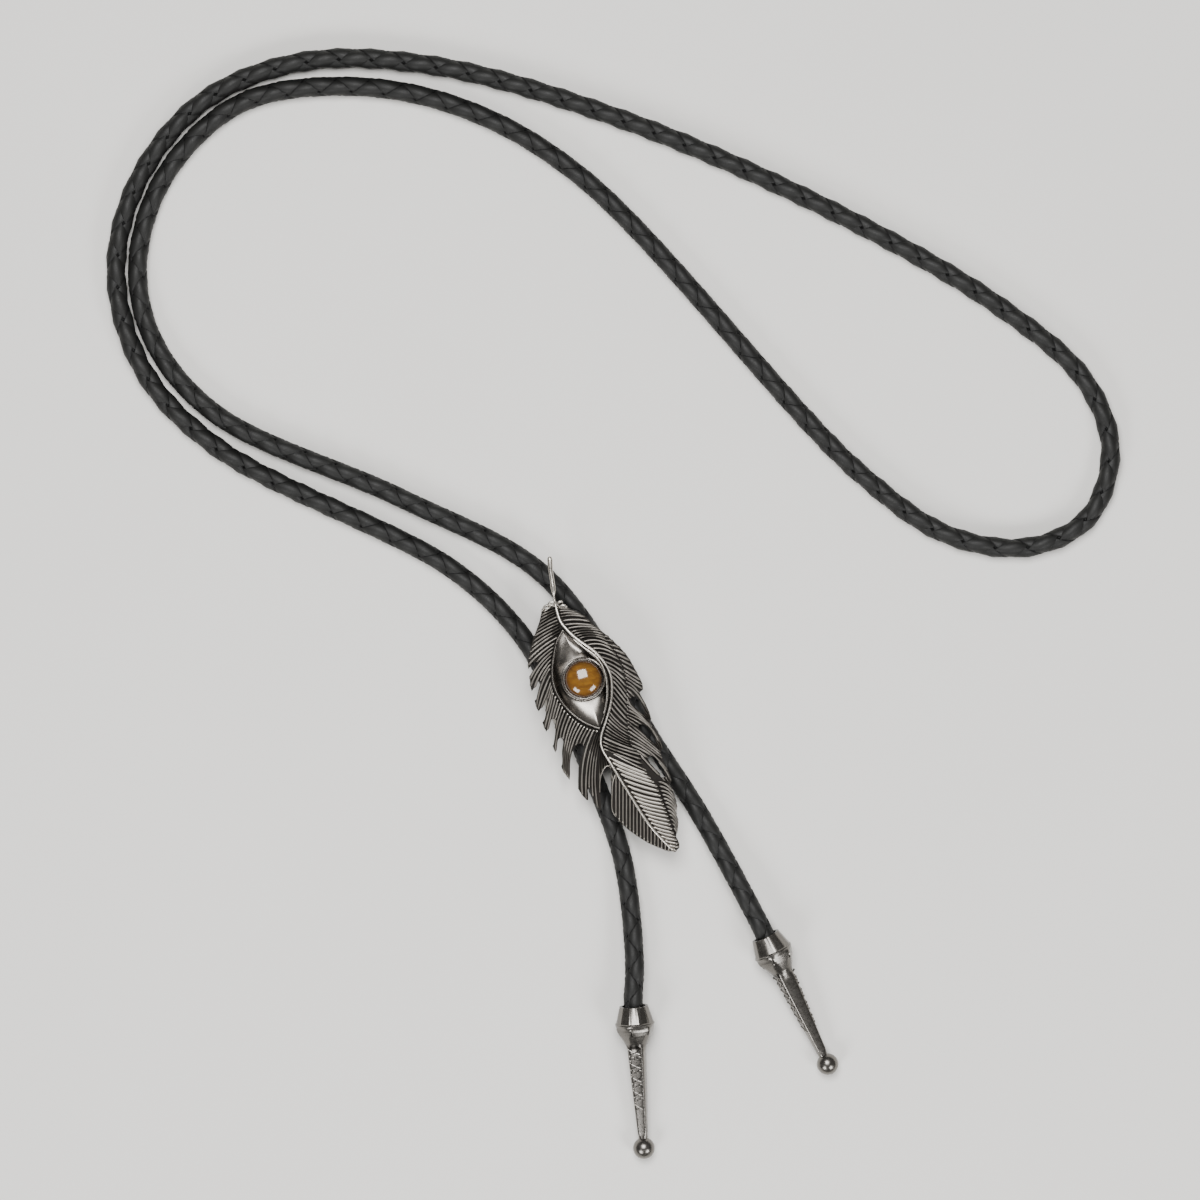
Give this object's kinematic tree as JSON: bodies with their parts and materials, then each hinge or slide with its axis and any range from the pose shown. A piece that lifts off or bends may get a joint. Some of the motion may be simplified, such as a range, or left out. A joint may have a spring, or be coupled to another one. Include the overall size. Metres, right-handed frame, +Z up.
{
  "type": "bolo tie",
  "caption": "Bolo tie laid flat: cast metal feather slide with a round cabochon, back clasp, one braided leather cord in a loop, and slender ball-ended metal tips.",
  "frame": {"origin": "on the back clasp's flat underside, midway between its two cord channels and 1 mm in from its lower edge; that face rests on the surface the tie lies on", "axes": "+Z up, out of the feather's face; +Y along the feather towards its quill end, and +X to the right of it, seen from above"},
  "size_m": [0.2137, 0.235, 0.0112],
  "materials": {
    "cord_leather": "black lacquered leather strands, four-strand round braid, satin",
    "feather_metal": "silver-coloured casting, darkened in the recesses and rubbed bright on the ridges",
    "cabochon_stone": "polished amber-brown translucent stone, domed",
    "clasp_metal": "plain bent strip, darkened silver colour",
    "tip_metal": "silver-coloured casting, darkened in the recesses and polished on the ridges"
  },
  "bodies": {
    "root": {"cord": "cord_leather", "feather": "feather_metal", "stone": "cabochon_stone", "back_clasp": "clasp_metal", "tip_left": "tip_metal", "tip_right": "tip_metal"}
  },
  "joints": []
}
